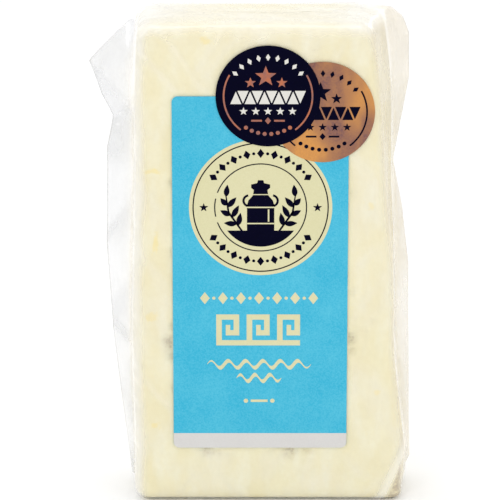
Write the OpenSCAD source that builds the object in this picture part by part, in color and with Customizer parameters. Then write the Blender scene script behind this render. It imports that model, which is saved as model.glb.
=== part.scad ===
// A block of feta vacuum-sealed in clear film, standing on its short end.
// The pouch is one closed solid out to its film: the block, the seams pinched flat along
// both sides, the folded top-left corner, and the end flap laid down the back.
// On its flat front lie a paper label and two round stickers, stacked as they were applied.
// X runs to the right, Y to the back, Z up; the origin is the middle of the foot.

/* [Block] */
// Height of the sealed block
block_h = 134; // [110:1:160]
// Width across the foot, before the right side swells out
block_w = 71.2; // [60:0.2:84]
// Depth from front to back
block_d = 26; // [20:0.5:36]
// Radius of the rounded edges at the front and the ends
edge_r = 4; // [2:0.5:5]
// Radius of the two upright edges at the back
back_r = 8; // [5:0.5:10]
// How far the right side leans inwards by the top
right_lean = 7.6; // [0:0.2:10]
// How much wider the back is than the front by the top, on the right
right_flare = 3.2; // [0:0.2:5]
// How far the right side swells out at the foot
right_foot = 2.4; // [0:0.2:3]
// How far the left side leans inwards by the top
left_lean = 1.8; // [0:0.2:6]
// Unevenness of the sides and the back
uneven = 0.3; // [0:0.05:0.6]

/* [Film] */
// Thickness of the two films sealed together
seam_t = 0.5; // [0.4:0.1:1]
// Half thickness of the tent of film where a seam leaves the block
seam_root = 3.2; // [1:0.2:5]
// Depth at which the side seams run, from the middle of the block
seam_y = 1.5; // [-3:0.5:4]
// How far back the seams swing at the top, where the end is folded over
seam_swing = 7; // [0:0.5:8]
// Height of the waves along a seam's free edge
seam_wave = 0.7; // [0:0.1:1.2]
// Length of the end flap laid down the back
flap_len = 17; // [8:1:30]

/* [Label] */
// Width of the label
label_w = 46.4; // [36:0.2:52]
// Height of the label
label_h = 98.8; // [80:0.2:104]
// Middle of the label, to the right of the middle of the foot
label_x = -1.5; // [-4:0.1:2]
// Height of the label's lower edge
label_z = 16.2; // [10:0.2:20]
// Radius of the label's corners
label_r = 1.6; // [0.5:0.1:4]
// Thickness of the paper
label_t = 0.14; // [0.1:0.02:0.4]

/* [Stickers] */
// Radius of both round stickers
sticker_r = 13.7; // [9:0.1:14]
// Thickness of one sticker
sticker_t = 0.12; // [0.1:0.02:0.4]
// Middle of the bronze sticker, sideways
bronze_x = 14.8; // [12:0.1:15]
// Middle of the bronze sticker, in height
bronze_z = 110.7; // [104:0.1:115]
// Middle of the navy sticker, sideways
navy_x = 0.5; // [-4:0.1:4]
// Middle of the navy sticker, in height
navy_z = 115.1; // [104:0.1:116]

/* [Hidden] */
front_y = -block_d / 2;
arc_steps = 5;
edge_steps = 5;
body_steps = 15;
seam_cols = 5;
seam_step = 3.5;
flap_cols = 12;

// How far the free edge of each seam overhangs half the foot's width, by share of the height.
// The left one opens into the folded corner's ear, the right one has a waist.
left_edge = [
    [0.02, 0.8], [0.18, 3.2], [0.34, 5.6], [0.52, 7], [0.72, 6.6], [0.78, 5],
    [0.817, 8], [0.88, 11.3], [0.995, -5.6]
];
right_edge = [
    [0.015, 0.6], [0.06, 3.8], [0.18, 3.3], [0.48, 2.7], [0.6, 0.8], [0.695, -1.7],
    [0.776, 0.2], [0.858, 2.4], [0.94, 2.4], [0.974, 0.7], [0.995, -2.6]
];

function mix(a, b, u) = a + (b - a) * u;
function ease(u) = (1 - cos(180 * min(max(u, 0), 1))) / 2;

// The table again with steps between its points, each stretch slightly eased at its ends
function filled(table) = concat(
    [for (i = [0 : len(table) - 2])
        let (a = table[i], b = table[i + 1], n = ceil((b[0] - a[0]) * block_h / seam_step))
        for (k = [0 : n - 1])
            [mix(a[0], b[0], k / n), mix(a[1], b[1], mix(k / n, ease(k / n), 0.4))]],
    [table[len(table) - 1]]
);

// The sides of the block at height z
function left_x(z) = -block_w / 2 + left_lean * pow(z / block_h, 3) + uneven * sin(5 * z + 20);
function right_x(z) =
    block_w / 2 - right_lean * pow(z / block_h, 2) + right_foot * (1 - ease(z / 50))
    + uneven * sin(7 * z);
function flare(z) = right_flare * ease((z / block_h - 0.3) / 0.65);
function back_y(z) = block_d / 2 - uneven * (1 + sin(6 * z + 70)) / 2;

// How far the outline draws in at height z, where the edges round over to the ends
function end_inset(z) =
    let (t = min(z, block_h - z))
    t >= edge_r ? 0 : edge_r - sqrt(pow(edge_r, 2) - pow(edge_r - t, 2));

// One rounded corner of the outline, as points on a quarter turn
function corner(x, y, r, turn) =
    [for (i = [0 : arc_steps]) let (a = turn + 90 * i / arc_steps) [x + r * cos(a), y + r * sin(a)]];

// The outline of the block at height z, anticlockwise from above
function block_ring(z) =
    let (
        inset = end_inset(z),
        x0 = left_x(z) + inset,
        x1 = right_x(z) - inset,
        y0 = front_y + inset,
        y1 = back_y(z) - inset,
        rf = max(edge_r - inset, 0.8),
        rb = back_r - inset
    )
    [for (p = concat(
        corner(x1 + flare(z) - rb, y1 - rb, rb, 0),
        corner(x0 + rb, y1 - rb, rb, 90),
        corner(x0 + rf, y0 + rf, rf, 180),
        corner(x1 - rf, y0 + rf, rf, 270)
    )) [p[0], p[1], z]];

// Heights of the rings: closer together where the ends round over
function end_heights() = [for (i = [0 : edge_steps]) edge_r * (1 - cos(90 * i / edge_steps))];
function block_heights() = concat(
    end_heights(),
    [for (i = [1 : body_steps - 1]) mix(edge_r, block_h - edge_r, i / body_steps)],
    [for (i = [edge_steps : -1 : 0]) block_h - edge_r * (1 - cos(90 * i / edge_steps))]
);

// A closed skin over a stack of rings with the same number of points each
module skin(rings) {
    n = len(rings[0]);
    m = len(rings);
    polyhedron(
        points = [for (ring = rings) each ring],
        faces = concat(
            [[for (i = [0 : n - 1]) i]],
            [[for (i = [n - 1 : -1 : 0]) (m - 1) * n + i]],
            [for (k = [0 : m - 2], i = [0 : n - 1])
                [k * n + i, (k + 1) * n + i, k * n + (i + 1) % n]],
            [for (k = [0 : m - 2], i = [0 : n - 1])
                [(k + 1) * n + i, (k + 1) * n + (i + 1) % n, k * n + (i + 1) % n]]
        ),
        convexity = 6
    );
}

// Middle and half thickness of a seam, u from 0 inside the block to 1 at the free edge.
// Towards the top it swings back, and the tent at its root closes.
function swing(z) = ease((z / block_h - 0.73) / 0.22);
function seam_mid(z, u) = seam_y + seam_swing * swing(z) + seam_wave * u * sin(9 * z);
function seam_half(z, u) = seam_t / 2 + seam_root * (1 - 0.9 * swing(z)) * pow(1 - u, 2.5);

// The section of a seam at height z, standing out on one side (-1 left, 1 right)
function seam_ring(z, side, root_x, edge_x) =
    let (
        near = [for (j = [0 : seam_cols]) let (u = j / seam_cols)
            [side * mix(root_x, edge_x, u), seam_mid(z, u) - seam_half(z, u), z]],
        far = [for (j = [seam_cols : -1 : 0]) let (u = j / seam_cols)
            [side * mix(root_x, edge_x, u), seam_mid(z, u) + seam_half(z, u), z]],
        loop = concat(near, far)
    )
    side > 0 ? loop : [for (i = [len(loop) - 1 : -1 : 0]) loop[i]];

module seam(side, edge, root) {
    half = block_w / 2;
    skin([for (row = filled(edge)) seam_ring(row[0] * block_h, side, half - root, half + row[1])]);
}

// The end of the pouch, folded over the top and laid down the back
module end_flap() {
    top = block_h - edge_r - 1;
    sunk = block_d / 2 - 1.2;
    skin([for (j = [0 : flap_cols])
        let (
            x = mix(left_x(top) + back_r, right_x(top) - back_r, j / flap_cols),
            foot = top - flap_len + 0.8 * sin(200 * j / flap_cols),
            out = block_d / 2 + seam_t * (0.7 + 0.3 * sin(500 * j / flap_cols))
        )
        [[x, out, foot], [x, out, foot + 4], [x, out - seam_t / 2, top], [x, sunk, top], [x, sunk, foot]]]);
}

// The pieces are merged into one skin, at its full height
module pouch() {
    color([0.96, 0.93, 0.81]) resize([0, 0, block_h]) union() {
        skin([for (z = block_heights()) block_ring(z)]);
        seam(-1, left_edge, 8);
        seam(1, right_edge, 10);
        end_flap();
    }
}

// A thin plate lying on the flat front: its outline drawn as seen from the front
module on_front(t) {
    translate([0, front_y, 0]) rotate([90, 0, 0]) linear_extrude(t) children();
}

module label_outline() {
    translate([label_x, label_z + label_h / 2]) {
        square([label_w - 2 * label_r, label_h], center = true);
        square([label_w, label_h - 2 * label_r], center = true);
        for (sx = [-1, 1], sz = [-1, 1])
            translate([sx * (label_w / 2 - label_r), sz * (label_h / 2 - label_r)])
                circle(label_r, $fn = 32);
    }
}

module front_label() {
    color([0.25, 0.74, 0.87]) on_front(label_t) label_outline();
}

// The bronze sticker lies half on the label and half on the film beside it
module bronze_sticker() {
    color([0.74, 0.5, 0.33]) difference() {
        on_front(label_t + sticker_t) translate([bronze_x, bronze_z]) circle(sticker_r, $fn = 96);
        front_label();
    }
}

// The navy sticker laps over the label and over the bronze sticker
module navy_sticker() {
    color([0.02, 0.02, 0.13]) difference() {
        on_front(label_t + 2 * sticker_t) translate([navy_x, navy_z]) circle(sticker_r, $fn = 96);
        front_label();
        on_front(label_t + sticker_t) translate([bronze_x, bronze_z]) circle(sticker_r, $fn = 96);
    }
}

pouch();
front_label();
bronze_sticker();
navy_sticker();
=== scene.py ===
"""A block of feta vacuum-sealed in clear film, standing on end, with a blue label and two stickers.

The cheese, the film round it and the printed shapes are built here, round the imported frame.
All lengths are in millimetres until they go into a mesh.
"""

import itertools
import math

import bpy
import numpy as np
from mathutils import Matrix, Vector


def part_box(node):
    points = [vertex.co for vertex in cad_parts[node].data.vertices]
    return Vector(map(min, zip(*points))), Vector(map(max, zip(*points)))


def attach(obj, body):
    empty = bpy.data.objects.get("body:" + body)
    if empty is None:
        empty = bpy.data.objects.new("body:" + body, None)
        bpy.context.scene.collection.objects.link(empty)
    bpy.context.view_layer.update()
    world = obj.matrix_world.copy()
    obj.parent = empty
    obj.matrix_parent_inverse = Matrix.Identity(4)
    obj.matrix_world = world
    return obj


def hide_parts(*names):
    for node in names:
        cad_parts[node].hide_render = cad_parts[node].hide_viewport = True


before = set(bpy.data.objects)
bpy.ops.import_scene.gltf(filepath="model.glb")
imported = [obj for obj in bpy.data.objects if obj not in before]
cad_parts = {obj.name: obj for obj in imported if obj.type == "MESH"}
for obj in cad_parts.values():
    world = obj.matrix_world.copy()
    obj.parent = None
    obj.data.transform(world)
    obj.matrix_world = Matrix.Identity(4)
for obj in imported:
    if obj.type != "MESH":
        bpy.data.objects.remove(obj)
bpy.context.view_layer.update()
MM = 0.001


def box_mm(node):
    """The lowest and highest corner of a CAD node, in millimetres."""
    low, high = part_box(node)
    return np.array(low) / MM, np.array(high) / MM


# ---------------------------------------------------------------- sizes, as in the frame

_, POUCH_HIGH = box_mm("pouch")
LABEL_LOW, LABEL_HIGH = box_mm("front_label")
NAVY_LOW, NAVY_HIGH = box_mm("navy_sticker")
BRONZE_LOW, BRONZE_HIGH = box_mm("bronze_sticker")

HEIGHT = POUCH_HIGH[2]
FRONT = LABEL_HIGH[1]  # the flat front that the label lies on
BACK = -FRONT
FOOT_W = 71.2  # width of the foot, before its right side swells out
EDGE_R = 4.0
BACK_R = 8.0
RIGHT_LEAN = 7.6
RIGHT_FLARE = 3.2  # how much wider the back is than the front by the top, on the right
RIGHT_FOOT = 2.4  # how far the right side swells out at the foot
RIGHT_FOOT_H = 50.0  # and how far up that reaches
LEFT_LEAN = 1.8
UNEVEN = 0.3

SEAM_Y = 1.5  # depth of the side seams
SEAM_SWING = 7.0  # how far back they swing at the top
SEAM_T = 0.3
FLAP_LEN = 17.0  # the sealed end laid down the back
FLAP_T = 0.12
RIB_STEP = 1.1  # from one rib of its seal to the next
LABEL_R = 1.6
STRIP_H = 4.2  # the pale strip along the label's foot

# How far each seam's free edge overhangs half the foot's width, by share of the height
LEFT_EDGE = (
    (0.02, 0.8), (0.18, 3.2), (0.34, 5.6), (0.52, 7.0), (0.72, 6.6), (0.78, 5.0),
    (0.817, 8.0), (0.88, 11.3), (0.999, -6.4),
)
RIGHT_EDGE = (
    (0.015, 0.6), (0.06, 3.8), (0.18, 3.3), (0.48, 2.7), (0.6, 0.8), (0.695, -1.7),
    (0.776, 0.2), (0.858, 2.4), (0.94, 2.4), (0.974, 0.7), (0.995, -2.6),
)

FOLD = ((35.9, 12.5), (30.6, 0.5))  # the slanting fold at the lower right, from top to foot
DRAWN_IN = 1.3  # how far that corner is drawn in, past the fold
CHEESE_GAP = 0.32  # the cheese's skin lies this far inside the film


# ---------------------------------------------------------------- numbers

def mix(a, b, u):
    """a at u = 0, b at u = 1, and evenly between."""
    return a + (b - a) * u


def ease(u):
    """A smooth step from 0 to 1 as u goes from 0 to 1."""
    u = np.clip(u, 0, 1)
    return u * u * (3 - 2 * u)


LATTICE_N = 32
LATTICE = np.random.default_rng(seed=11).random((LATTICE_N, LATTICE_N, LATTICE_N))


def cloud(points, size, shift=0.0):
    """Smooth noise from 0 to 1 at each point, with lumps of about this size."""
    q = points / size + shift
    cell = np.floor(q).astype(int)
    f = q - cell
    f = f * f * (3 - 2 * f)
    total = np.zeros(len(points))
    for corner in itertools.product((0, 1), repeat=3):
        weight = np.prod(np.where(corner, f, 1 - f), axis=1)
        i, j, k = ((cell + corner) % LATTICE_N).T
        total += weight * LATTICE[i, j, k]
    return total


def clouds(points, size, shift=0.0):
    """Three layers of smooth noise, each half as large and half as strong, from -0.5 to 0.5."""
    layers = [cloud(points, size / 2**n, shift + 7.3 * n) / 2**n for n in range(3)]
    return sum(layers) / (1 + 1 / 2 + 1 / 4) - 0.5


def ridges(points, size, sharp, shift=0.0):
    """Rounded crests, 1 along the crest and 0 away from it."""
    return (1 - (2 * cloud(points, size, shift) - 1) ** 2) ** (2 * sharp)


# ---------------------------------------------------------------- the block's outline

def arc(cx, cy, r, start, stop, n=9):
    """Points on an arc, angles in degrees."""
    a = np.radians(np.linspace(start, stop, n))
    return np.column_stack((cx + r * np.cos(a), cy + r * np.sin(a)))


def spread(line, n):
    """n points evenly along a line, from its first point, without its last."""
    steps = np.hypot(*np.diff(line, axis=0).T)
    along = np.concatenate(([0], np.cumsum(steps)))
    at = np.linspace(0, along[-1], n, endpoint=False)
    return np.column_stack([np.interp(at, along, line[:, k]) for k in (0, 1)])


def walls(z, inset):
    """The block's sides at height z: left, right, front and back, then its corners' radii."""
    share = np.clip(z / HEIGHT, 0, 1)
    left = -FOOT_W / 2 + LEFT_LEAN * share**3 + UNEVEN * math.sin(math.radians(5 * z + 20))
    right = FOOT_W / 2 - RIGHT_LEAN * share**2 + UNEVEN * math.sin(math.radians(7 * z))
    right += RIGHT_FOOT * (1 - float(ease(z / RIGHT_FOOT_H)))
    back = BACK - UNEVEN * (1 + math.sin(math.radians(6 * z + 70))) / 2
    return (
        left + inset, right - inset, FRONT + inset, back - inset,
        max(EDGE_R - inset, 0.5), max(BACK_R - inset, 0.5),
    )


def levels(gap, step=0.85):
    """(height, inset) of every ring, from the foot to the top, for a skin this far inside."""
    r = EDGE_R - gap
    ends = [(gap + r * (1 - math.cos(a)), gap + r * (1 - math.sin(a)))
            for a in np.radians(np.linspace(0, 90, 8))]
    low, high = EDGE_R, HEIGHT - EDGE_R
    body = np.linspace(low, high, int((high - low) / step))[1:-1]
    return ends + [(z, gap) for z in body] + [(HEIGHT - z, i) for z, i in reversed(ends)]


def flare(z):
    """How much further right the block's back edge stands than its front edge at height z."""
    return RIGHT_FLARE * float(ease((z / HEIGHT - 0.3) / 0.65))


def right_side(z, w, y):
    """The block's right side at this depth."""
    _, x1, y0, y1, front_r, back_r = w
    along = np.clip((y - y0 - front_r) / (y1 - back_r - y0 - front_r), 0, 1)
    return x1 + flare(z) * along


def point_if(wanted, x, y):
    """One point as a row, or no rows."""
    return np.array([[x, y]]) if wanted else np.empty((0, 2))


def turned_by(past, r):
    """How many degrees of a corner of radius r are left out when it's cut this far past its start."""
    return math.degrees(math.asin(np.clip(past / r, 0, 0.9)))


def front_run(z, w, left_y, right_y):
    """The outline from the left side at left_y, round the front, to the right side at right_y."""
    x0, x1, y0, _, r, _ = w
    start, stop = [turned_by(y0 + r - y, r) for y in (left_y, right_y)]
    return np.vstack((
        point_if(left_y > y0 + r, x0, left_y),
        arc(x0 + r, y0 + r, r, 180 + start, 270),
        arc(x1 - r, y0 + r, r, 270, 360 - stop),
        point_if(right_y > y0 + r, right_side(z, w, right_y), right_y),
    ))


def back_run(z, w, right_y, left_y):
    """The outline from the right side at right_y, round the back, to the left side at left_y."""
    x0, x1, _, y1, _, r = w
    start, stop = [turned_by(y - y1 + r, r) for y in (right_y, left_y)]
    return np.vstack((
        point_if(right_y < y1 - r, right_side(z, w, right_y), right_y),
        arc(x1 + flare(z) - r, y1 - r, r, start, 90),
        arc(x0 + r, y1 - r, r, 90, 180 - stop),
        point_if(left_y < y1 - r, x0, left_y),
    ))


def closing(ring, depth=10.0, steps=13, last=0.93):
    """The rings that close an end in, from this one towards a line along its middle."""
    middle = ring.copy()
    middle[:, 0] = np.clip(ring[:, 0], ring[:, 0].min() + depth, ring[:, 0].max() - depth)
    middle[:, 1] = (ring[:, 1].min() + ring[:, 1].max()) / 2
    return [mix(ring, middle, last * (k + 1) / steps) for k in range(steps)]


def stack(rings):
    """All points of a loft from (height, ring) pairs, its ends closed in.

    Also the number of points in a ring, and the number of rings.
    """
    (low, first), (high, last) = rings[0], rings[-1]
    rings = [(low, r) for r in closing(first)][::-1] + rings + [(high, r) for r in closing(last)]
    points = np.vstack([np.column_stack((r, np.full(len(r), z))) for z, r in rings])
    return points, len(first), len(rings)


# ---------------------------------------------------------------- meshes

def mesh_object(name, points, faces, smooth=True):
    """A mesh in the scene, from points in millimetres."""
    mesh = bpy.data.meshes.new(name)
    mesh.from_pydata(np.asarray(points) * MM, [], faces)
    mesh.validate()
    if smooth:
        mesh.shade_smooth()
    obj = bpy.data.objects.new(name, mesh)
    bpy.context.scene.collection.objects.link(obj)
    return obj


def loft_faces(n, m):
    """The faces of a closed skin over m rings of n points, anticlockwise from above."""
    faces = [
        (k * n + i, k * n + (i + 1) % n, (k + 1) * n + (i + 1) % n, (k + 1) * n + i)
        for k in range(m - 1) for i in range(n)
    ]
    foot = tuple(range(n - 1, -1, -1))
    top = tuple((m - 1) * n + i for i in range(n))
    return [foot] + faces + [top]


def loft_normals(points, n, m):
    """The outward direction at every point of a loft."""
    grid = points.reshape(m, n, 3)
    around = np.roll(grid, -1, axis=1) - np.roll(grid, 1, axis=1)
    up = np.gradient(grid, axis=0)
    normal = np.cross(around, up)
    size = np.linalg.norm(normal, axis=2, keepdims=True)
    return (normal / np.maximum(size, 1e-9)).reshape(-1, 3)


def add_value(obj, name, values):
    """Stores one number at each point of the mesh, for its material to read."""
    layer = obj.data.attributes.new(name, "FLOAT", "POINT")
    layer.data.foreach_set("value", np.asarray(values, dtype=np.float32))


# ---------------------------------------------------------------- the cheese

# Hollows in the cheese round the label: place across, height, radius, depth
HOLLOWS = (
    (-25.6, 46.0, 2.2, 0.9), (-24.9, 42.2, 1.5, 0.7), (-24.8, 50.5, 1.1, 0.5),
    (-24.6, 91.0, 1.3, 0.5), (-24.7, 71.5, 1.0, 0.4), (-24.6, 33.0, 1.0, 0.4),
    (-15.6, 14.9, 2.0, 0.8), (-12.5, 14.4, 1.2, 0.5), (6.5, 14.6, 2.6, 0.8),
    (11.0, 14.8, 1.4, 0.6), (1.5, 15.0, 1.0, 0.4), (22.6, 47.0, 1.7, 0.8),
    (22.9, 43.8, 1.1, 0.6), (22.8, 88.0, 1.2, 0.4), (22.6, 60.5, 1.0, 0.4),
)
# Drops of whey caught under the film on the front: place across, height, half width, half height
WHEY = (
    (-29.9, 94.2, 2.6, 0.7), (-29.2, 74.5, 0.7, 2.6), (-30.3, 53.4, 1.9, 1.3),
    (-29.5, 22.6, 1.4, 0.7), (-16.0, 130.0, 1.6, 1.0), (27.6, 84.5, 0.9, 1.3),
    (29.8, 32.0, 1.0, 0.8),
)


def cheese_ring(z, inset, n=250):
    """n points evenly round the cheese at height z."""
    w = walls(z, inset)
    line = np.vstack((front_run(z, w, 0, 0), back_run(z, w, 0, 0)))
    return spread(np.vstack((line, line[:1])), n)


def on_front(p):
    """Whether each point lies on the front face."""
    return p[:, 1] < FRONT + 1.5


def hollows_at(p):
    """How deep the cheese is hollowed at each point, in millimetres."""
    depth = np.zeros(len(p))
    front = on_front(p)
    ragged = 1 + 0.9 * clouds(p, 1.6, 4.0)
    for x, z, r, deep in HOLLOWS:
        away = np.hypot(p[:, 0] - x, (p[:, 2] - z) * 0.9) / (r * ragged)
        depth = np.maximum(depth, front * deep * ease(1.35 - away))
    specks = ease((cloud(p, 2.6, 31.0) - 0.86) / 0.1) * ease((cloud(p, 17, 2.0) - 0.4) / 0.2)
    return np.maximum(depth, 0.35 * specks)


def whey_at(p):
    """Where a drop of whey yellows the front, from 0 to 1."""
    amount = np.zeros(len(p))
    front = on_front(p)
    ragged = 1 + 0.7 * clouds(p, 1.2, 9.0)
    for x, z, wide, high in WHEY:
        away = np.hypot((p[:, 0] - x) / wide, (p[:, 2] - z) / high) / ragged
        amount = np.maximum(amount, front * ease(1.5 - away))
    return amount


def past_fold(p):
    """How far a point lies past the slanting fold at the lower right of the front, in millimetres."""
    (x0, z0), (x1, z1) = FOLD
    length = math.hypot(x1 - x0, z1 - z0)
    return ((p[:, 0] - x0) * (z0 - z1) - (p[:, 2] - z0) * (x0 - x1)) / length


def by_front(p):
    """1 on the front and its rounded edge, fading to 0 halfway along the sides."""
    return ease((2 - p[:, 1]) / 10)


def drawn_in(p):
    """How far the skin is drawn in past the fold, in millimetres."""
    return DRAWN_IN * ease((past_fold(p) - 0.6) / 2.2) * by_front(p)


def off_foot(p):
    """0 on the foot, which stays flat, rising to 1 a little way above it."""
    return ease((p[:, 2] - 0.6) / 3)


def swell(p):
    """The unevenness that the cheese and the film over it share."""
    return 0.24 * clouds(p, 19.0, 3.0) + 0.1 * clouds(p, 7.0, 13.0)


def make_cheese():
    """The block of cheese, with attributes for its material: the depth of its hollows, which also sets
    painted shade there and past the fold, and whey.
    """
    p, n, m = stack([(z, cheese_ring(z, inset)) for z, inset in levels(CHEESE_GAP)])
    normal = loft_normals(p, n, m)
    hollow_and_painted_shade = hollows_at(p)
    out = swell(p) + 0.07 * clouds(p, 2.6, 21.0) + 0.03 * clouds(p, 1.1, 5.0) - hollow_and_painted_shade
    out -= drawn_in(p)
    q = p + normal * (out * off_foot(p))[:, None]
    obj = mesh_object("cheese_block", q, loft_faces(n, m))
    # Painted shade: past the fold at the lower right the drawn-in facet is darkened, as if turned from
    # the light.
    shaded = 0.95 * ease((past_fold(p) - 1.0) / 1.2) * by_front(p)
    # The hollows are real dents, and the same amount darkens them in the material as painted shade.
    add_value(obj, "hollow_and_painted_shade", np.maximum(hollow_and_painted_shade, shaded))
    add_value(obj, "whey", whey_at(p))
    return obj


# ---------------------------------------------------------------- the film

# Points along one ring: on the front, on the back, on one side of a seam, and round its edge
FRONT_N, BACK_N, FIN_N, TIP_N = 150, 90, 26, 3
LEAVES_AT = 0.35  # a film leaves the block at most this far round a corner, by share of its radius
NO_SEAM = -9.0  # the overhang above and below a seam, which would put its edge inside the block
LEAST_OUT = 0.02  # the edge that's drawn stands out at least this far
FILM_IN = 0.03  # where nothing lifts it, the film lies this far inside the CAD's skin
CREASE_Z = 107.0  # where the crease across the folded ear meets the block
CREASE_RISE = 10.8  # how much higher it is at the ear's tip


def seam_at(z, side):
    """The section of a seam at height z, on the left (-1) or the right (1).

    edge is how far its free edge stands out and depth how far back it runs. near and far are how
    far before and behind it the films leave the block, and tent how straight they run to it.
    """
    table = LEFT_EDGE if side < 0 else RIGHT_EDGE
    share = z / HEIGHT
    over = np.interp(share, [a for a, _ in table], [b for _, b in table], left=NO_SEAM, right=NO_SEAM)
    swing = float(ease((share - 0.73) / 0.22))
    top = float(ease((share - 0.76) / 0.1))
    return {
        "edge": FOOT_W / 2 + over,
        "depth": SEAM_Y + SEAM_SWING * swing,
        "near": 4.2 + 13.0 * top,
        "far": 3.2 - 1.2 * swing,
        "tent": 0.1 + 0.55 * top,
    }


def bow(start, tip, tent, n):
    """A path from the block's side out to a tip: along the side first, or straight if tented."""
    corner = mix(np.array((start[0], tip[1])), (start + tip) / 2, tent)
    u = np.linspace(0, 1, n, endpoint=False)[:, None]
    return (1 - u) ** 2 * start + 2 * u * (1 - u) * corner + u * u * tip


def fin(seam, edge_x, start, stop, half):
    """Out along one film to the free edge, round it, and back along the other film."""
    tip, turn = [np.array((edge_x, seam["depth"] + h)) for h in (-half, half)]
    out = bow(start, tip, seam["tent"], FIN_N)
    home = bow(stop, turn, seam["tent"], FIN_N)
    end = mix(tip, turn, np.linspace(0, 1, TIP_N, endpoint=False)[:, None])
    return np.vstack((out, end, [turn], home[:0:-1]))


def film_ring(z, inset):
    """One ring round the whole pouch: front, right seam, back, left seam."""
    w = walls(z, inset)
    x0, x1, y0, y1, front_r, back_r = w
    left, right = seam_at(z, -1), seam_at(z, 1)
    near = [max(s["depth"] - s["near"], y0 + LEAVES_AT * front_r) for s in (left, right)]
    far = [min(s["depth"] + s["far"], y1 - LEAVES_AT * back_r) for s in (left, right)]
    front = front_run(z, w, *near)
    back = back_run(z, w, *far[::-1])
    left_x = -max(left["edge"], LEAST_OUT - x0)
    right_x = max(right["edge"], LEAST_OUT + x1 + flare(z))
    return np.vstack((
        spread(front, FRONT_N),
        fin(right, right_x, front[-1], back[0], SEAM_T / 2),
        spread(back, BACK_N),
        fin(left, left_x, back[-1], front[0], -SEAM_T / 2),
    ))


def fin_share(p):
    """How far out along a seam each point is: 0 on the block, 1 at the free edge."""
    share = np.zeros(len(p))
    for z in np.unique(p[:, 2]):
        at = p[:, 2] == z
        x0, x1 = walls(z, 0)[:2]
        for side, wall in ((-1, x0), (1, x1 + flare(z))):
            reach = seam_at(z, side)["edge"] - abs(wall)
            if reach > 0.1:
                out = np.clip((side * p[at, 0] - abs(wall)) / reach, 0, 1)
                share[at] = np.maximum(share[at], out * min(reach / 2, 1))
    return share


def bare(p):
    """0 under the label and the stickers, rising to 1 a little way outside them."""
    mid, half = (LABEL_LOW + LABEL_HIGH) / 2, (LABEL_HIGH - LABEL_LOW) / 2
    off = np.maximum(np.abs(p - mid) - half, 0)
    away = np.hypot(off[:, 0], off[:, 2])
    for low, high in ((NAVY_LOW, NAVY_HIGH), (BRONZE_LOW, BRONZE_HIGH)):
        mid, r = (low + high) / 2, (high[0] - low[0]) / 2
        away = np.minimum(away, np.hypot(p[:, 0] - mid[0], p[:, 2] - mid[2]) - r)
    return np.where(p[:, 1] < 0, ease(away / 2.2), 1.0)


def creases(p, plane, angle, long, across, sharp, shift):
    """Long crests lying at an angle in one plane, such as (0, 2) for the front."""
    i, j = plane
    c, s = math.cos(math.radians(angle)), math.sin(math.radians(angle))
    wander = 3 * clouds(p, 16.0, shift + 1)
    q = np.column_stack((
        (p[:, i] * c + p[:, j] * s) * across / long,
        -p[:, i] * s + p[:, j] * c + wander,
        np.zeros(len(p)),
    ))
    return ridges(q, across, sharp, shift)


def wrinkles(p, normal):
    """How far the film stands off the cheese in creases, in millimetres."""
    top, side, face = normal[:, 2] ** 2, normal[:, 0] ** 2, normal[:, 1] ** 2
    patch = ease((cloud(p, 14.0, 40.0) - 0.35) / 0.3)
    slant = 0.22 * creases(p, (0, 2), -52, 40, 7.0, 5, 0) * patch
    slant += 0.18 * creases(p, (0, 2), 58, 32, 6.0, 6, 50) * (1 - patch)
    across = 0.16 * creases(p, (0, 1), 4, 40, 7.0, 4, 9)
    across += 0.12 * creases(p, (0, 1), -25, 18, 6.0, 5, 70)
    down = 0.18 * creases(p, (1, 2), 28, 16, 5.5, 4, 5)
    down += 0.14 * creases(p, (1, 2), 75, 30, 4, 6, 60)
    calm = 1 - 0.6 * (p[:, 0] > 0) * (p[:, 1] < SEAM_Y)
    return face * slant + np.clip(top, 0, 1) * across + side * down * calm


def seam_waves(p, share):
    """How far a seam's sheet waves back and forth, in millimetres."""
    flat = p * (1, 0, 1)
    lazy = 0.7 * share * np.sin(np.radians(9 * p[:, 2]))
    fine = share * (1.3 * clouds(flat, 9.0, 17.0) + 0.5 * clouds(flat * (0.4, 1, 1), 3.0, 23.0))
    ear = (p[:, 0] < 0) * ease((p[:, 2] / HEIGHT - 0.76) / 0.04)
    bent = 0.3 * ear * share * np.abs(above_crease(p, share))
    return lazy + fine + bent


def above_crease(p, share):
    """How far each point lies above the crease across the ear, in millimetres."""
    return p[:, 2] - CREASE_Z - CREASE_RISE * share


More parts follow.
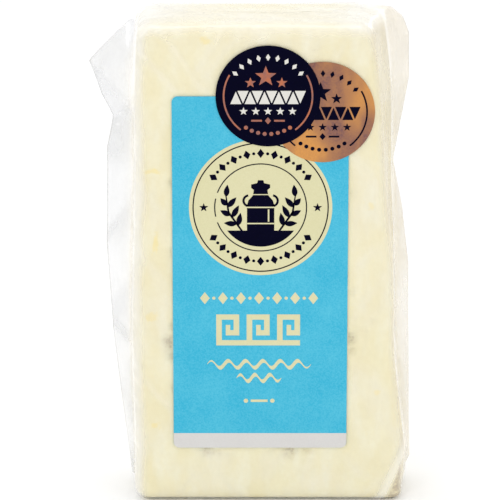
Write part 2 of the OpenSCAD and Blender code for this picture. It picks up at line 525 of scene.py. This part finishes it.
def make_film():
    """The film round the whole block, with its seams.

    Its attributes for the material are fin, how far out on a seam; the cloudiness, which also carries
    painted light and shade; warm, how cream the loose film is, as a painted reflection of the cheese;
    and loose, where it's loose.
    """
    p, n, m = stack([(z, film_ring(z, inset)) for z, inset in levels(0.0, step=0.68)])
    normal = loft_normals(p, n, m)
    share = fin_share(p)
    on_block = 1 - ease(share * 6)
    clear = bare(p)
    left = p[:, 0] < 0
    fold_band = np.exp(-((past_fold(p) / 1.3) ** 2)) * by_front(p)
    crest = wrinkles(p, normal) + (0.2 * fold_band - drawn_in(p))
    out = (swell(p) + crest - 0.25 * hollows_at(p)) * clear * on_block - FILM_IN
    q = p + normal * (out * off_foot(p))[:, None]
    q[:, 1] += seam_waves(p, share)
    q[:, 2] += 1.3 * share * left * ease((p[:, 2] / HEIGHT - 0.78) / 0.08)
    obj = mesh_object("film", q, loft_faces(n, m))
    # Painted highlights: the film is whitened along the crests of its creases and along the fold at the
    # lower right.
    haze_and_painted_light = haze_and_painted_light_at(p, normal, share) + 0.9 * np.clip(crest, 0, 0.2) + 0.3 * fold_band
    right_wall = ease((normal[:, 0] - 0.6) / 0.3)
    add_value(obj, "fin", share)
    add_value(obj, "haze_and_painted_light", np.clip(haze_and_painted_light * (0.25 + 0.75 * clear), 0.01, 0.8))
    add_value(obj, "loose", np.maximum(ease(share / 0.15), right_wall))
    # Painted reflection: the loose film is tinted cream, the cheese's colour caught in it, near the block
    # on the left and over the right seam.
    add_value(obj, "warm", np.where(left, ease(1 - 3 * share), 1 - 0.12 * ease(3 * share)))
    return obj


def block_haze_and_painted_light(p, normal):
    """How cloudy the film is on the block: clear on the front, cloudy over the top and the sides, a
    whiteness that is partly painted light: a top lit from above and brighter at its ends, a painted
    highlight down the left edge and a lighter right side.
    """
    left, right = p[:, 0] < 0, p[:, 0] > 0
    # Painted light: the top is whitened as if lit from above, more towards its ends, and the sides are
    # whitened, the left most, as a painted highlight.
    corners = ease((np.abs(p[:, 0] + 2) - 16) / 14)
    top = (0.2 + 0.3 * corners) * ease((normal[:, 2] - 0.1) / 0.8)
    top += 0.1 * ease((p[:, 2] / HEIGHT - 0.92) / 0.08)
    turned = np.abs(normal[:, 0])
    sides = 0.54 * left * ease(turned / 0.8) + 0.32 * right * ease((turned - 0.45) / 0.5)
    return np.clip(top + sides, 0, 0.65)


def seam_haze_and_painted_shade(p, share):
    """How cloudy the film is on the seams: thin on the left, with one facet on the ear greyed as painted
    shade.
    """
    left, right = p[:, 0] < 0, p[:, 0] > 0
    height = p[:, 2] / HEIGHT
    # Painted shade: the ear's facet below its crease is made greyer, as if turned from the light.
    facet = ease((height - 0.74) / 0.03) * ease(-above_crease(p, share) / 1.5)
    upper = ease((height - 0.66) / 0.15)
    return left * (0.12 + 0.09 * facet) + right * (0.33 + 0.08 * upper - 0.08 * share)


def haze_and_painted_light_at(p, normal, share):
    """How cloudy the film is at each point, from 0 to 1, with painted light on the block and painted
    shade on the ear.
    """
    on_block = 1 - ease(share * np.where(p[:, 0] < 0, 8, 30))
    patchy = 1 + 0.4 * clouds(p * (1, 1, 0.4), 7.0, 33.0)
    return 0.02 + patchy * mix(seam_haze_and_painted_shade(p, share), block_haze_and_painted_light(p, normal), on_block)


def sheet_faces(n, m):
    """The faces of a thin sheet: n by m points outside, and as many more inside."""
    grid = np.arange(n * m).reshape(m, n)
    a, b, c, d = grid[:-1, :-1], grid[1:, :-1], grid[1:, 1:], grid[:-1, 1:]
    quads = np.stack((a, d, c, b), axis=-1).reshape(-1, 4)
    rim = np.concatenate((grid[0, :-1], grid[:-1, -1], grid[-1, :0:-1], grid[:0:-1, 0]))
    after = np.roll(rim, -1)
    edge = np.column_stack((rim, after, after + n * m, rim + n * m))
    return np.vstack((quads, quads[:, ::-1] + n * m, edge)).tolist()


def make_flap():
    """The pouch's sealed end, folded over the top and laid down the back."""
    top, n, m = HEIGHT - EDGE_R - 1, 120, 40
    x0, x1 = walls(top, 0)[:2]
    across, down = [g.ravel() for g in np.meshgrid(np.linspace(0, 1, n), np.linspace(0, 1, m))]
    x = mix(x0 + BACK_R, x1 - BACK_R, across)
    z = mix(top, top - FLAP_LEN + 0.8 * np.sin(np.radians(200 * across)), down)
    flat = np.column_stack((x, np.zeros_like(x), z))
    seal = ease((down - 0.5) / 0.04) * ease((0.93 - down) / 0.04)
    ribs = 0.05 * seal * np.sin(2 * math.pi * z / RIB_STEP)
    lift = 0.28 + 0.16 * np.sin(np.radians(500 * across)) * down
    lift += 0.12 * clouds(flat, 8.0, 41.0) + ribs
    back = mix(BACK - 1.0, BACK + np.clip(lift, 0.05, 0.48), ease(down / 0.18))
    outer, inner = [np.column_stack((x, y, z)) for y in (back, back - FLAP_T)]
    obj = mesh_object("end_flap", np.vstack((outer, inner)), sheet_faces(n, m))
    haze_and_painted_light = np.clip(0.1 + 0.2 * seal + 0.08 * clouds(flat, 5.0, 19.0), 0.03, 0.6)
    add_value(obj, "fin", np.tile(0.4 + 0.6 * (down > 0.98), 2))
    add_value(obj, "haze_and_painted_light", np.tile(haze_and_painted_light, 2))
    for name in ("loose", "warm"):
        add_value(obj, name, np.ones(2 * n * m))
    return obj


# ---------------------------------------------------------------- colours and materials

FRONT_LIGHT = 1.16  # how brightly the studio lights the front, against plain white


def rgb(r, g, b):
    """A colour from 0 to 255 a channel, as Blender's linear colour."""
    def linear(c):
        c = c / 255
        return c / 12.92 if c <= 0.04045 else ((c + 0.055) / 1.055) ** 2.4
    return (linear(r), linear(g), linear(b), 1.0)


def seen(r, g, b):
    """The paint that looks this colour on the front."""
    return tuple(c / FRONT_LIGHT for c in rgb(r, g, b)[:3]) + (1.0,)


class Material:
    """A node material being built: add() makes a node, wired from sockets or set to values."""

    MIX_A, MIX_B, MIX_OUT = 6, 7, 2  # a Mix node's own sockets for colours

    def __init__(self, name):
        self.material = bpy.data.materials.new(name)
        self.material.use_nodes = True
        self.tree = self.material.node_tree
        self.tree.nodes.clear()

    def add(self, kind, inputs=None, **settings):
        node = self.tree.nodes.new(kind)
        for key, value in settings.items():
            setattr(node, key, value)
        for key, value in (inputs or {}).items():
            if isinstance(value, bpy.types.NodeSocket):
                self.tree.links.new(value, node.inputs[key])
            else:
                node.inputs[key].default_value = value
        return node

    def place(self):
        """Where a point lies on the object, in metres."""
        return self.add("ShaderNodeTexCoord").outputs["Object"]

    def stretched(self, scale, turn=(0, 0, 0)):
        """The same place, turned and scaled, to draw noise out in one direction."""
        inputs = {"Vector": self.place(), "Scale": scale, "Rotation": turn}
        return self.add("ShaderNodeMapping", inputs).outputs["Vector"]

    def noise(self, size_mm, detail=3.0, vector=None):
        """Noise from 0 to 1 with lumps of about this size."""
        inputs = {"Vector": vector or self.place(), "Scale": 1 / (size_mm * MM), "Detail": detail}
        return self.add("ShaderNodeTexNoise", inputs).outputs["Fac"]

    def value(self, name):
        """A number stored on the mesh by add_value."""
        return self.add("ShaderNodeAttribute", attribute_name=name).outputs["Fac"]

    def ramp(self, value, low, high, start=0.0, stop=1.0):
        """Runs from start to stop as the value goes from low to high."""
        inputs = {"Value": value, "From Min": low, "From Max": high, "To Min": start, "To Max": stop}
        return self.add("ShaderNodeMapRange", inputs, clamp=True).outputs["Result"]

    def math(self, operation, a, b):
        return self.add("ShaderNodeMath", {0: a, 1: b}, operation=operation).outputs["Value"]

    def blend(self, factor, a, b):
        """Colour a where the factor is 0, b where it's 1."""
        sockets = {0: factor, self.MIX_A: a, self.MIX_B: b}
        return self.add("ShaderNodeMix", sockets, data_type="RGBA").outputs[self.MIX_OUT]

    def bump(self, height, distance_mm, strength=1.0):
        inputs = {"Height": height, "Distance": distance_mm * MM, "Strength": strength}
        return self.add("ShaderNodeBump", inputs).outputs["Normal"]

    def finish(self, shader):
        self.add("ShaderNodeOutputMaterial", {"Surface": shader})
        return self.material


def cheese_material():
    """Feta: a cream mottle with paler streaks and fine curd, yellower at whey, with painted shade darker
    and browner in the hollows and past the fold.
    """
    m = Material("feta")
    mottle = m.ramp(m.noise(9.0, 4.0), 0.35, 0.65)
    slanted = m.stretched((1, 1, 0.4), (0, math.radians(-50), 0))
    streaks = m.ramp(m.noise(6.0, 3.0, slanted), 0.45, 0.7)
    curd = m.ramp(m.noise(1.6, 2.0), 0.3, 0.7)
    colour = m.blend(mottle, rgb(237, 228, 190), rgb(240, 233, 200))
    colour = m.blend(m.math("MULTIPLY", streaks, 0.8), colour, rgb(242, 238, 215))
    colour = m.blend(m.math("MULTIPLY", curd, 0.25), colour, rgb(228, 217, 176))
    torn = m.ramp(m.noise(1.4, 3.0), 0.3, 0.7, -0.45, 0.35)
    whey = m.ramp(m.math("ADD", m.value("whey"), torn), 0.25, 0.8, 0.0, 0.5)
    colour = m.blend(whey, colour, rgb(242, 222, 138))
    # Painted shade: the colour goes darker and browner where the cheese is hollowed and on the facet past
    # the fold.
    ragged = m.math("ADD", m.value("hollow_and_painted_shade"), m.ramp(m.noise(1.1, 3.0), 0.3, 0.7, -0.3, 0.3))
    colour = m.blend(m.ramp(ragged, 0.25, 0.8, 0.0, 0.6), colour, rgb(222, 210, 176))
    colour = m.blend(m.ramp(ragged, 0.75, 1.1, 0.0, 0.7), colour, rgb(176, 158, 134))
    height = m.math("ADD", m.noise(1.3, 3.0), m.math("MULTIPLY", m.noise(0.4, 2.0), 0.3))
    shader = m.add("ShaderNodeBsdfPrincipled", {
        "Base Color": colour, "Roughness": m.ramp(m.noise(3.0), 0.3, 0.7, 0.5, 0.72),
        "Normal": m.bump(height, 0.12, 0.5), "Specular IOR Level": 0.35,
    })
    return m.finish(shader.outputs["BSDF"])


def film_material():
    """Clear film: see-through, hazed by a pale skin where it's creased and where painted light whitens it
    and painted shade greys it, under a soft gloss.
    """
    m = Material("clear_film")
    fin_part = m.value("fin")
    creased = m.ramp(m.noise(4.0, 4.0, m.stretched((1, 1, 0.35))), 0.45, 0.75, 0.0, 0.05)
    edge = m.ramp(fin_part, 0.94, 1.0, 0.0, 0.18)
    # The cloudiness carries painted light and shade from the mesh as well as the film's own milkiness.
    milky_and_painted_light = m.math("ADD", m.math("ADD", m.value("haze_and_painted_light"), creased), edge)
    fine = m.bump(m.noise(4.5, 2.0), 0.25, 0.3)
    # Painted reflection: the cream that warm mixes into the loose film stands for the cheese's colour
    # caught in it.
    loose = m.blend(m.value("warm"), rgb(218, 219, 222), rgb(244, 236, 219))
    colour = m.blend(m.value("loose"), rgb(255, 253, 246), loose)
    skin = m.add("ShaderNodeBsdfPrincipled", {
        "Base Color": colour, "Roughness": m.ramp(creased, 0, 0.05, 0.25, 0.4), "Normal": fine,
    })
    clear = m.add("ShaderNodeBsdfTransparent", {"Color": (1, 1, 1, 1)})
    body = m.add("ShaderNodeMixShader", {0: milky_and_painted_light, 1: clear.outputs[0], 2: skin.outputs[0]})
    shine = m.add("ShaderNodeBsdfGlossy", {"Color": (1, 1, 1, 1), "Roughness": 0.16, "Normal": fine})
    mirror = m.math("MINIMUM", m.add("ShaderNodeFresnel", {"IOR": 1.38}).outputs["Fac"], 0.22)
    whole = m.add("ShaderNodeMixShader", {0: mirror, 1: body.outputs[0], 2: shine.outputs[0]})
    return m.finish(whole.outputs[0])


def paper_material(name, colour, other, rough=0.45, grain=0.35, gloss=0.4):
    """Coated paper: a faint mottle, a fine grain and a slight waviness."""
    m = Material(name)
    shade = m.ramp(m.noise(9.0, 4.0), 0.35, 0.7)
    fine = m.ramp(m.noise(grain, 2.0), 0.35, 0.65)
    share = m.math("ADD", m.math("MULTIPLY", shade, 0.4), m.math("MULTIPLY", fine, 0.6))
    mixed = m.blend(share, colour, other)
    height = m.math("ADD", m.noise(11.0, 2.0), m.math("MULTIPLY", fine, 0.01))
    shader = m.add("ShaderNodeBsdfPrincipled", {
        "Base Color": mixed, "Roughness": m.ramp(fine, 0, 1, rough, rough + 0.12),
        "Normal": m.bump(height, 0.5, 0.35), "Specular IOR Level": gloss,
    })
    return m.finish(shader.outputs["BSDF"])


def foil_material():
    """Bronze foil paper: a metal sheen whose colour runs from mauve brown to orange gold."""
    m = Material("bronze_foil")
    drift = m.noise(11.0, 3.0, m.stretched((1, 1, 0.45), (0, math.radians(-35), 0)))
    warm = m.ramp(drift, 0.36, 0.6)
    colour = m.blend(warm, seen(122, 82, 84), seen(226, 157, 78))
    grain = m.ramp(m.noise(0.45, 2.0), 0.3, 0.7)
    colour = m.blend(m.math("MULTIPLY", grain, 0.4), colour, seen(196, 134, 82))
    shader = m.add("ShaderNodeBsdfPrincipled", {
        "Base Color": colour, "Metallic": 0.35, "Roughness": m.ramp(grain, 0, 1, 0.34, 0.46),
        "Normal": m.bump(m.noise(9.0, 2.0), 0.4, 0.3),
    })
    return m.finish(shader.outputs["BSDF"])


def set_material(obj, material):
    obj.data.materials.clear()
    obj.data.materials.append(material)


# ---------------------------------------------------------------- printed shapes, as outlines (x, z)

EMBLEM_X, EMBLEM_Z, EMBLEM_R = -1.4, 84.4, 18.9
STEP = 0.03  # from one print's face to the next one under it
PRINT_T = 0.05


def moved(shape, x, z, turn=0.0):
    """An outline turned by degrees anticlockwise, then moved."""
    c, s = math.cos(math.radians(turn)), math.sin(math.radians(turn))
    return [(x + a * c - b * s, z + a * s + b * c) for a, b in shape]


def rect(x0, z0, x1, z1):
    return [(x0, z0), (x1, z0), (x1, z1), (x0, z1)]


def lozenge(wide, high):
    return [(-wide / 2, 0), (0, -high / 2), (wide / 2, 0), (0, high / 2)]


def disc(r, n=24):
    return [(r * math.cos(2 * math.pi * k / n), r * math.sin(2 * math.pi * k / n)) for k in range(n)]


def star(r):
    """A star with five points, one of them up."""
    reach = [(r, 0.42 * r)[k % 2] for k in range(10)]
    turns = [math.radians(90 + 36 * k) for k in range(10)]
    return [(far * math.cos(a), far * math.sin(a)) for far, a in zip(reach, turns)]


def leaf(long, wide):
    """A pointed leaf lying along x from its stalk at the origin."""
    u = np.linspace(0, 1, 9)
    edge = wide / 2 * np.sin(math.pi * u**0.8)
    return list(zip(long * u, -edge)) + list(zip((long * u)[-2:0:-1], edge[-2:0:-1]))


def band(r, width, start, stop):
    """Part of a ring round the origin, from start to stop in degrees, as one outline."""
    n = max(3, int((stop - start) / 3))
    out = arc(0, 0, r + width / 2, start, stop, n)
    back = arc(0, 0, r - width / 2, stop, start, n)
    return [tuple(p) for p in np.vstack((out, back))]


def ring(r, width):
    """A whole ring, as two halves."""
    return [band(r, width, 0, 180), band(r, width, 180, 360)]


def wave(x0, x1, high, thick, swings):
    """A swung ribbon, thinner where it falls than where it rises."""
    u = np.linspace(0, 1, 12 * swings)
    x = mix(x0, x1, u)
    z = high / 2 * np.sin(2 * math.pi * swings * u)
    half = thick / 2 * (0.45 + 0.55 * (0.5 + 0.5 * np.cos(2 * math.pi * swings * u)))
    half = half * np.minimum(1, 8 * np.minimum(u, 1 - u) + 0.1)
    return list(zip(x, z - half)) + list(zip(x[::-1], (z + half)[::-1]))


def round_row(shape, r, start, stop, n):
    """n copies of an outline spaced along an arc, each standing upright on it."""
    return [moved(shape, r * math.cos(math.radians(a)), r * math.sin(math.radians(a)), a - 90)
            for a in np.linspace(start, stop, n)]


def straight_row(shape, x0, x1, z, n):
    """n copies of an outline spaced along a level line."""
    return [moved(shape, x, z) for x in np.linspace(x0, x1, n)]


def all_moved(shapes, x, z):
    return [moved(shape, x, z) for shape in shapes]


def key_band(x0, z0, high, n, step):
    """A row of Greek keys: each a post, a roof and a curl, all standing on one line."""
    t = high * 0.17
    hook = [(0, t), (t, t), (t, high - t), (3.1 * t, high - t), (3.1 * t, 2.9 * t), (2.5 * t, 2.9 * t),
            (2.5 * t, 3.9 * t), (1.7 * t, 3.9 * t), (1.7 * t, 1.9 * t), (4.1 * t, 1.9 * t),
            (4.1 * t, high), (0, high)]
    hooks = [moved(hook, x0 + step * k, z0) for k in range(n)]
    return [rect(x0, z0, x0 + step * (n - 1) + 4.1 * t, z0 + t)] + hooks


def ink(name, shapes, y, material):
    """One colour of print: thin plates whose faces stand at depth y, just off the paper."""
    points, faces = [], []
    for shape in shapes:
        n, first = len(shape), len(points)
        points += [(x, at, z) for at in (y, y + PRINT_T) for x, z in shape]
        faces.append(tuple(first + k for k in range(n)))
        faces.append(tuple(first + n + k for k in reversed(range(n))))
        for k in range(n):
            j = (k + 1) % n
            faces.append((first + k, first + n + k, first + n + j, first + j))
    obj = mesh_object(name, points, faces, smooth=False)
    set_material(obj, material)
    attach(obj, "root")


def sprig(side):
    """A leafy sprig on the left (-1) or the right (1) of the emblem."""
    stem = [(4.7, -6.4), (5.3, -6.4), (8.7, -1.5), (9.3, 3.4), (9.0, 3.4), (8.2, -1.2)]
    leaves = (
        (5.9, -5.0, 100, 3.6), (6.3, -4.6, 5, 3.4), (7.5, -2.7, 118, 3.8), (8.0, -2.2, 28, 3.0),
        (8.7, 0.1, 130, 3.6), (8.9, 0.6, 50, 2.6), (9.1, 3.0, 96, 3.4),
    )
    shapes = [[(side * x, z) for x, z in stem[::side]]]
    for x, z, turn, long in leaves:
        shapes.append(moved(leaf(long, 1.5), side * x, z, turn if side > 0 else 180 - turn))
    return shapes


def emblem_shapes():
    """A milk churn between two leafy sprigs, inside a ring of ornaments; and the churn's bands."""
    half_churn = [
        (3.6, -6.4), (3.6, 0.6), (3.2, 2.0), (2.0, 3.4), (1.8, 4.9), (2.5, 5.5), (2.5, 6.4),
        (0.9, 6.8), (0.7, 7.6),
    ]
    churn = half_churn + [(-x, z) for x, z in half_churn[::-1]]
    ground = [tuple(p) for p in arc(0, 0, 10.9, 216, 324, 30)]
    handles = [moved(band(1.5, 0.6, a, a + 170), x, 1.9) for a, x in ((100, -3.0), (-90, 3.0))]
    navy = [churn, ground] + handles + sprig(-1) + sprig(1)
    navy += ring(17.8, 0.32) + [band(12.1, 0.3, -160, 160), band(12.1, 0.3, 168, 192)]
    diamond, dot = lozenge(1.9, 2.5), disc(0.42, 12)
    for middle in (90, 270):
        navy += round_row(diamond, 15.0, middle - 56, middle + 56, 9)
        navy += round_row(dot, 15.0, middle - 49, middle + 49, 8)
    navy += [moved(star(1.25), 15.0 * side, 0) for side in (-1, 1)]
    bands = [
        rect(-3.6, -4.6, 3.6, -4.25), rect(-3.6, -0.1, 3.6, 0.25), rect(-2.0, 3.5, 2.0, 3.75),
        rect(1.9, -3.9, 2.3, -0.5),
    ]
    return navy, bands


def label_rows():
    """Ornaments where the label carries its lines of print, from the top down."""
    rows = straight_row(lozenge(2.6, 3.4), -16.2, 12.6, 59.0, 7)
    rows += straight_row(disc(0.45, 12), -13.8, 10.2, 59.0, 6)
    rows += key_band(-13.2, 45.6, 8.8, 3, 8.1)
    rows.append(moved(wave(-13.9, 13.9, 2.0, 1.5, 6), -1.8, 40.2))
    rows.append(moved(wave(-6.0, 6.0, 1.9, 1.5, 3), -1.8, 36.3))
    rows += [rect(-4.0, 29.4, 0.5, 30.1)] + [moved(disc(0.6, 12), x, 29.75) for x in (-5.3, 1.8)]
    return rows


def sticker_shapes():
    """The main print, a zigzag under an arc of lozenges, and the finer one: arcs, dots and stars."""
    main = round_row(lozenge(1.2, 1.9), 10.6, 36, 144, 9)
    up, down = [(-1.45, -1.8), (1.45, -1.8), (0, 1.6)], [(-1.45, 1.8), (0, -1.6), (1.45, 1.8)]
    main += [moved((up, down)[k % 2], -8.4 + 1.87 * k, -0.3) for k in range(10)]
    main += straight_row(star(1.15), -6.4, 6.4, -4.1, 5)
    fine = [band(11.6, 0.45, 150, 232), band(11.6, 0.45, -52, 30)]
    fine += [moved(star(2.9), -0.6, 5.4), moved(star(1.5), -4.6, 3.7), moved(star(1.5), 3.6, 3.7)]
    fine += [rect(-4.4, -6.9, -1.6, -6.4), rect(1.6, -6.9, 4.4, -6.4), moved(lozenge(1.6, 1.9), 0, -6.65)]
    fine += round_row(disc(0.55, 12), 10.3, 236, 304, 8)
    return main, fine


# ---------------------------------------------------------------- stage

AIM = Vector((-4.2, -13.0, 72.5)) * MM  # what the camera and the lights point at
CAMERA_UP = math.radians(19.3)
CAMERA_AWAY = 1.057
LENS = 287.7
FLOOR_REACH = 3000
FLOOR_Z = -0.02  # just below the foot
STRIPS = ((-0.7, -0.15), (0.7, 0.05), (0.35, 0.65), (-0.45, 0.55))  # x and y in metres


def add_camera():
    """The camera, looking down at the front as in the photo."""
    data = bpy.data.cameras.new("camera")
    data.lens = LENS
    data.sensor_width = 36.0
    camera = bpy.data.objects.new("camera", data)
    bpy.context.scene.collection.objects.link(camera)
    back = Vector((0, -math.cos(CAMERA_UP), math.sin(CAMERA_UP)))
    camera.location = AIM + back * CAMERA_AWAY
    camera.rotation_euler = (-back).to_track_quat("-Z", "Y").to_euler()
    bpy.context.scene.camera = camera


def add_light(name, at, size, watts):
    """A soft white lamp at a place in metres, turned to the object."""
    data = bpy.data.lights.new(name, "AREA")
    data.shape = "RECTANGLE"
    data.size, data.size_y = size
    data.energy = watts
    light = bpy.data.objects.new(name, data)
    bpy.context.scene.collection.objects.link(light)
    light.location = at
    light.rotation_euler = (AIM - Vector(at)).to_track_quat("-Z", "Y").to_euler()


def add_floor():
    corners = ((-1, -1), (1, -1), (1, 1), (-1, 1))
    points = [(x * FLOOR_REACH, y * FLOOR_REACH, FLOOR_Z) for x, y in corners]
    floor = mesh_object("floor", points, [(0, 1, 2, 3)], smooth=False)
    m = Material("pale_floor")
    tone = m.blend(m.noise(60.0), rgb(249, 249, 249), rgb(251, 251, 251))
    shader = m.add("ShaderNodeBsdfPrincipled", {"Base Color": tone, "Roughness": 0.8})
    set_material(floor, m.finish(shader.outputs["BSDF"]))


def add_studio():
    """A white room that lights evenly, and weak lamps that only shape the film's gloss."""
    world = bpy.data.worlds.new("studio")
    world.use_nodes = True
    world.node_tree.nodes["Background"].inputs["Color"].default_value = (1, 1, 1, 1)
    bpy.context.scene.world = world
    bpy.context.scene.view_settings.view_transform = "Standard"
    add_light("key", (-0.45, -0.8, 0.6), (0.15, 0.15), 0.8)
    add_light("fill", (0.65, -0.6, 0.45), (0.2, 0.4), 0.35)
    for number, (x, y) in enumerate(STRIPS):
        add_light(f"strip_{number}", (x, y, 0.3), (0.05, 0.4), 0.13)
    add_light("overhead", (0, 0.02, 0.45), (0.25, 0.12), 0.2)


# ---------------------------------------------------------------- the whole

def make_pouch():
    """The cheese, the film and its flap, which stand for the CAD's one solid pouch."""
    cheese = make_cheese()
    set_material(cheese, cheese_material())
    film, flap = make_film(), make_flap()
    clear_film = film_material()
    for piece in (film, flap):
        set_material(piece, clear_film)
    for piece in (cheese, film, flap):
        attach(piece, "root")
    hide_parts("pouch")


def paint_papers():
    """The label and the two stickers are the CAD's own plates, with paper and foil on them."""
    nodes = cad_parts
    blue = paper_material("label_blue", seen(34, 182, 220), seen(86, 202, 231))
    navy = paper_material("sticker_navy", seen(0, 0, 24), seen(2, 1, 32), rough=0.5, gloss=0.04)
    set_material(nodes["front_label"], blue)
    set_material(nodes["bronze_sticker"], foil_material())
    set_material(nodes["navy_sticker"], navy)


def make_inks():
    """The inks by colour, each a mottle of two shades."""
    return {
        "navy": paper_material("navy_ink", seen(0, 0, 24), seen(3, 2, 33), rough=0.5, gloss=0.04),
        "cream": paper_material("cream_ink", seen(226, 221, 175), seen(232, 227, 185), gloss=0.2),
        "pale": paper_material("pale_ink", seen(222, 219, 217), seen(227, 225, 222), gloss=0.2),
        "white": paper_material("white_ink", seen(230, 228, 220), seen(236, 233, 226), gloss=0.2),
        "copper": paper_material(
            "copper_ink", seen(146, 104, 100), seen(204, 116, 74), rough=0.4, grain=1.5, gloss=0.2,
        ),
    }


def label_strip():
    """The pale strip that fills the label's foot, with the label's two lower corners."""
    x0, x1, z0 = LABEL_LOW[0], LABEL_HIGH[0], LABEL_LOW[2]
    r = LABEL_R
    foot = np.vstack((arc(x0 + r, z0 + r, r, 180, 270), arc(x1 - r, z0 + r, r, 270, 360)))
    return [tuple(p) for p in foot] + [(x1, z0 + STRIP_H), (x0, z0 + STRIP_H)]


def print_label(inks):
    """Each ink over the one before it, one step further off the paper."""
    cream = [moved(disc(EMBLEM_R, 120), EMBLEM_X, EMBLEM_Z)] + label_rows()
    navy, bands = [all_moved(shapes, EMBLEM_X, EMBLEM_Z) for shapes in emblem_shapes()]
    layers = (
        ("label_strip", [label_strip()], 1, "pale"), ("label_cream_print", cream, 1, "cream"),
        ("emblem_print", navy, 2, "navy"), ("emblem_detail", bands, 3, "cream"),
    )
    for name, shapes, level, colour in layers:
        ink(name, shapes, LABEL_LOW[1] - level * STEP, inks[colour])


def print_sticker(name, low, high, main_ink, fine_ink):
    """The same ornaments on either sticker, in its own two inks."""
    x, z = (low[0] + high[0]) / 2, (low[2] + high[2]) / 2
    main, fine = [all_moved(shapes, x, z) for shapes in sticker_shapes()]
    ink(name + "_print", main, low[1] - STEP, main_ink)
    ink(name + "_fine_print", fine, low[1] - STEP, fine_ink)


add_camera()
add_floor()
add_studio()
make_pouch()
paint_papers()
INKS = make_inks()
print_label(INKS)
print_sticker("navy_sticker", NAVY_LOW, NAVY_HIGH, INKS["white"], INKS["copper"])
print_sticker("bronze_sticker", BRONZE_LOW, BRONZE_HIGH, INKS["navy"], INKS["navy"])
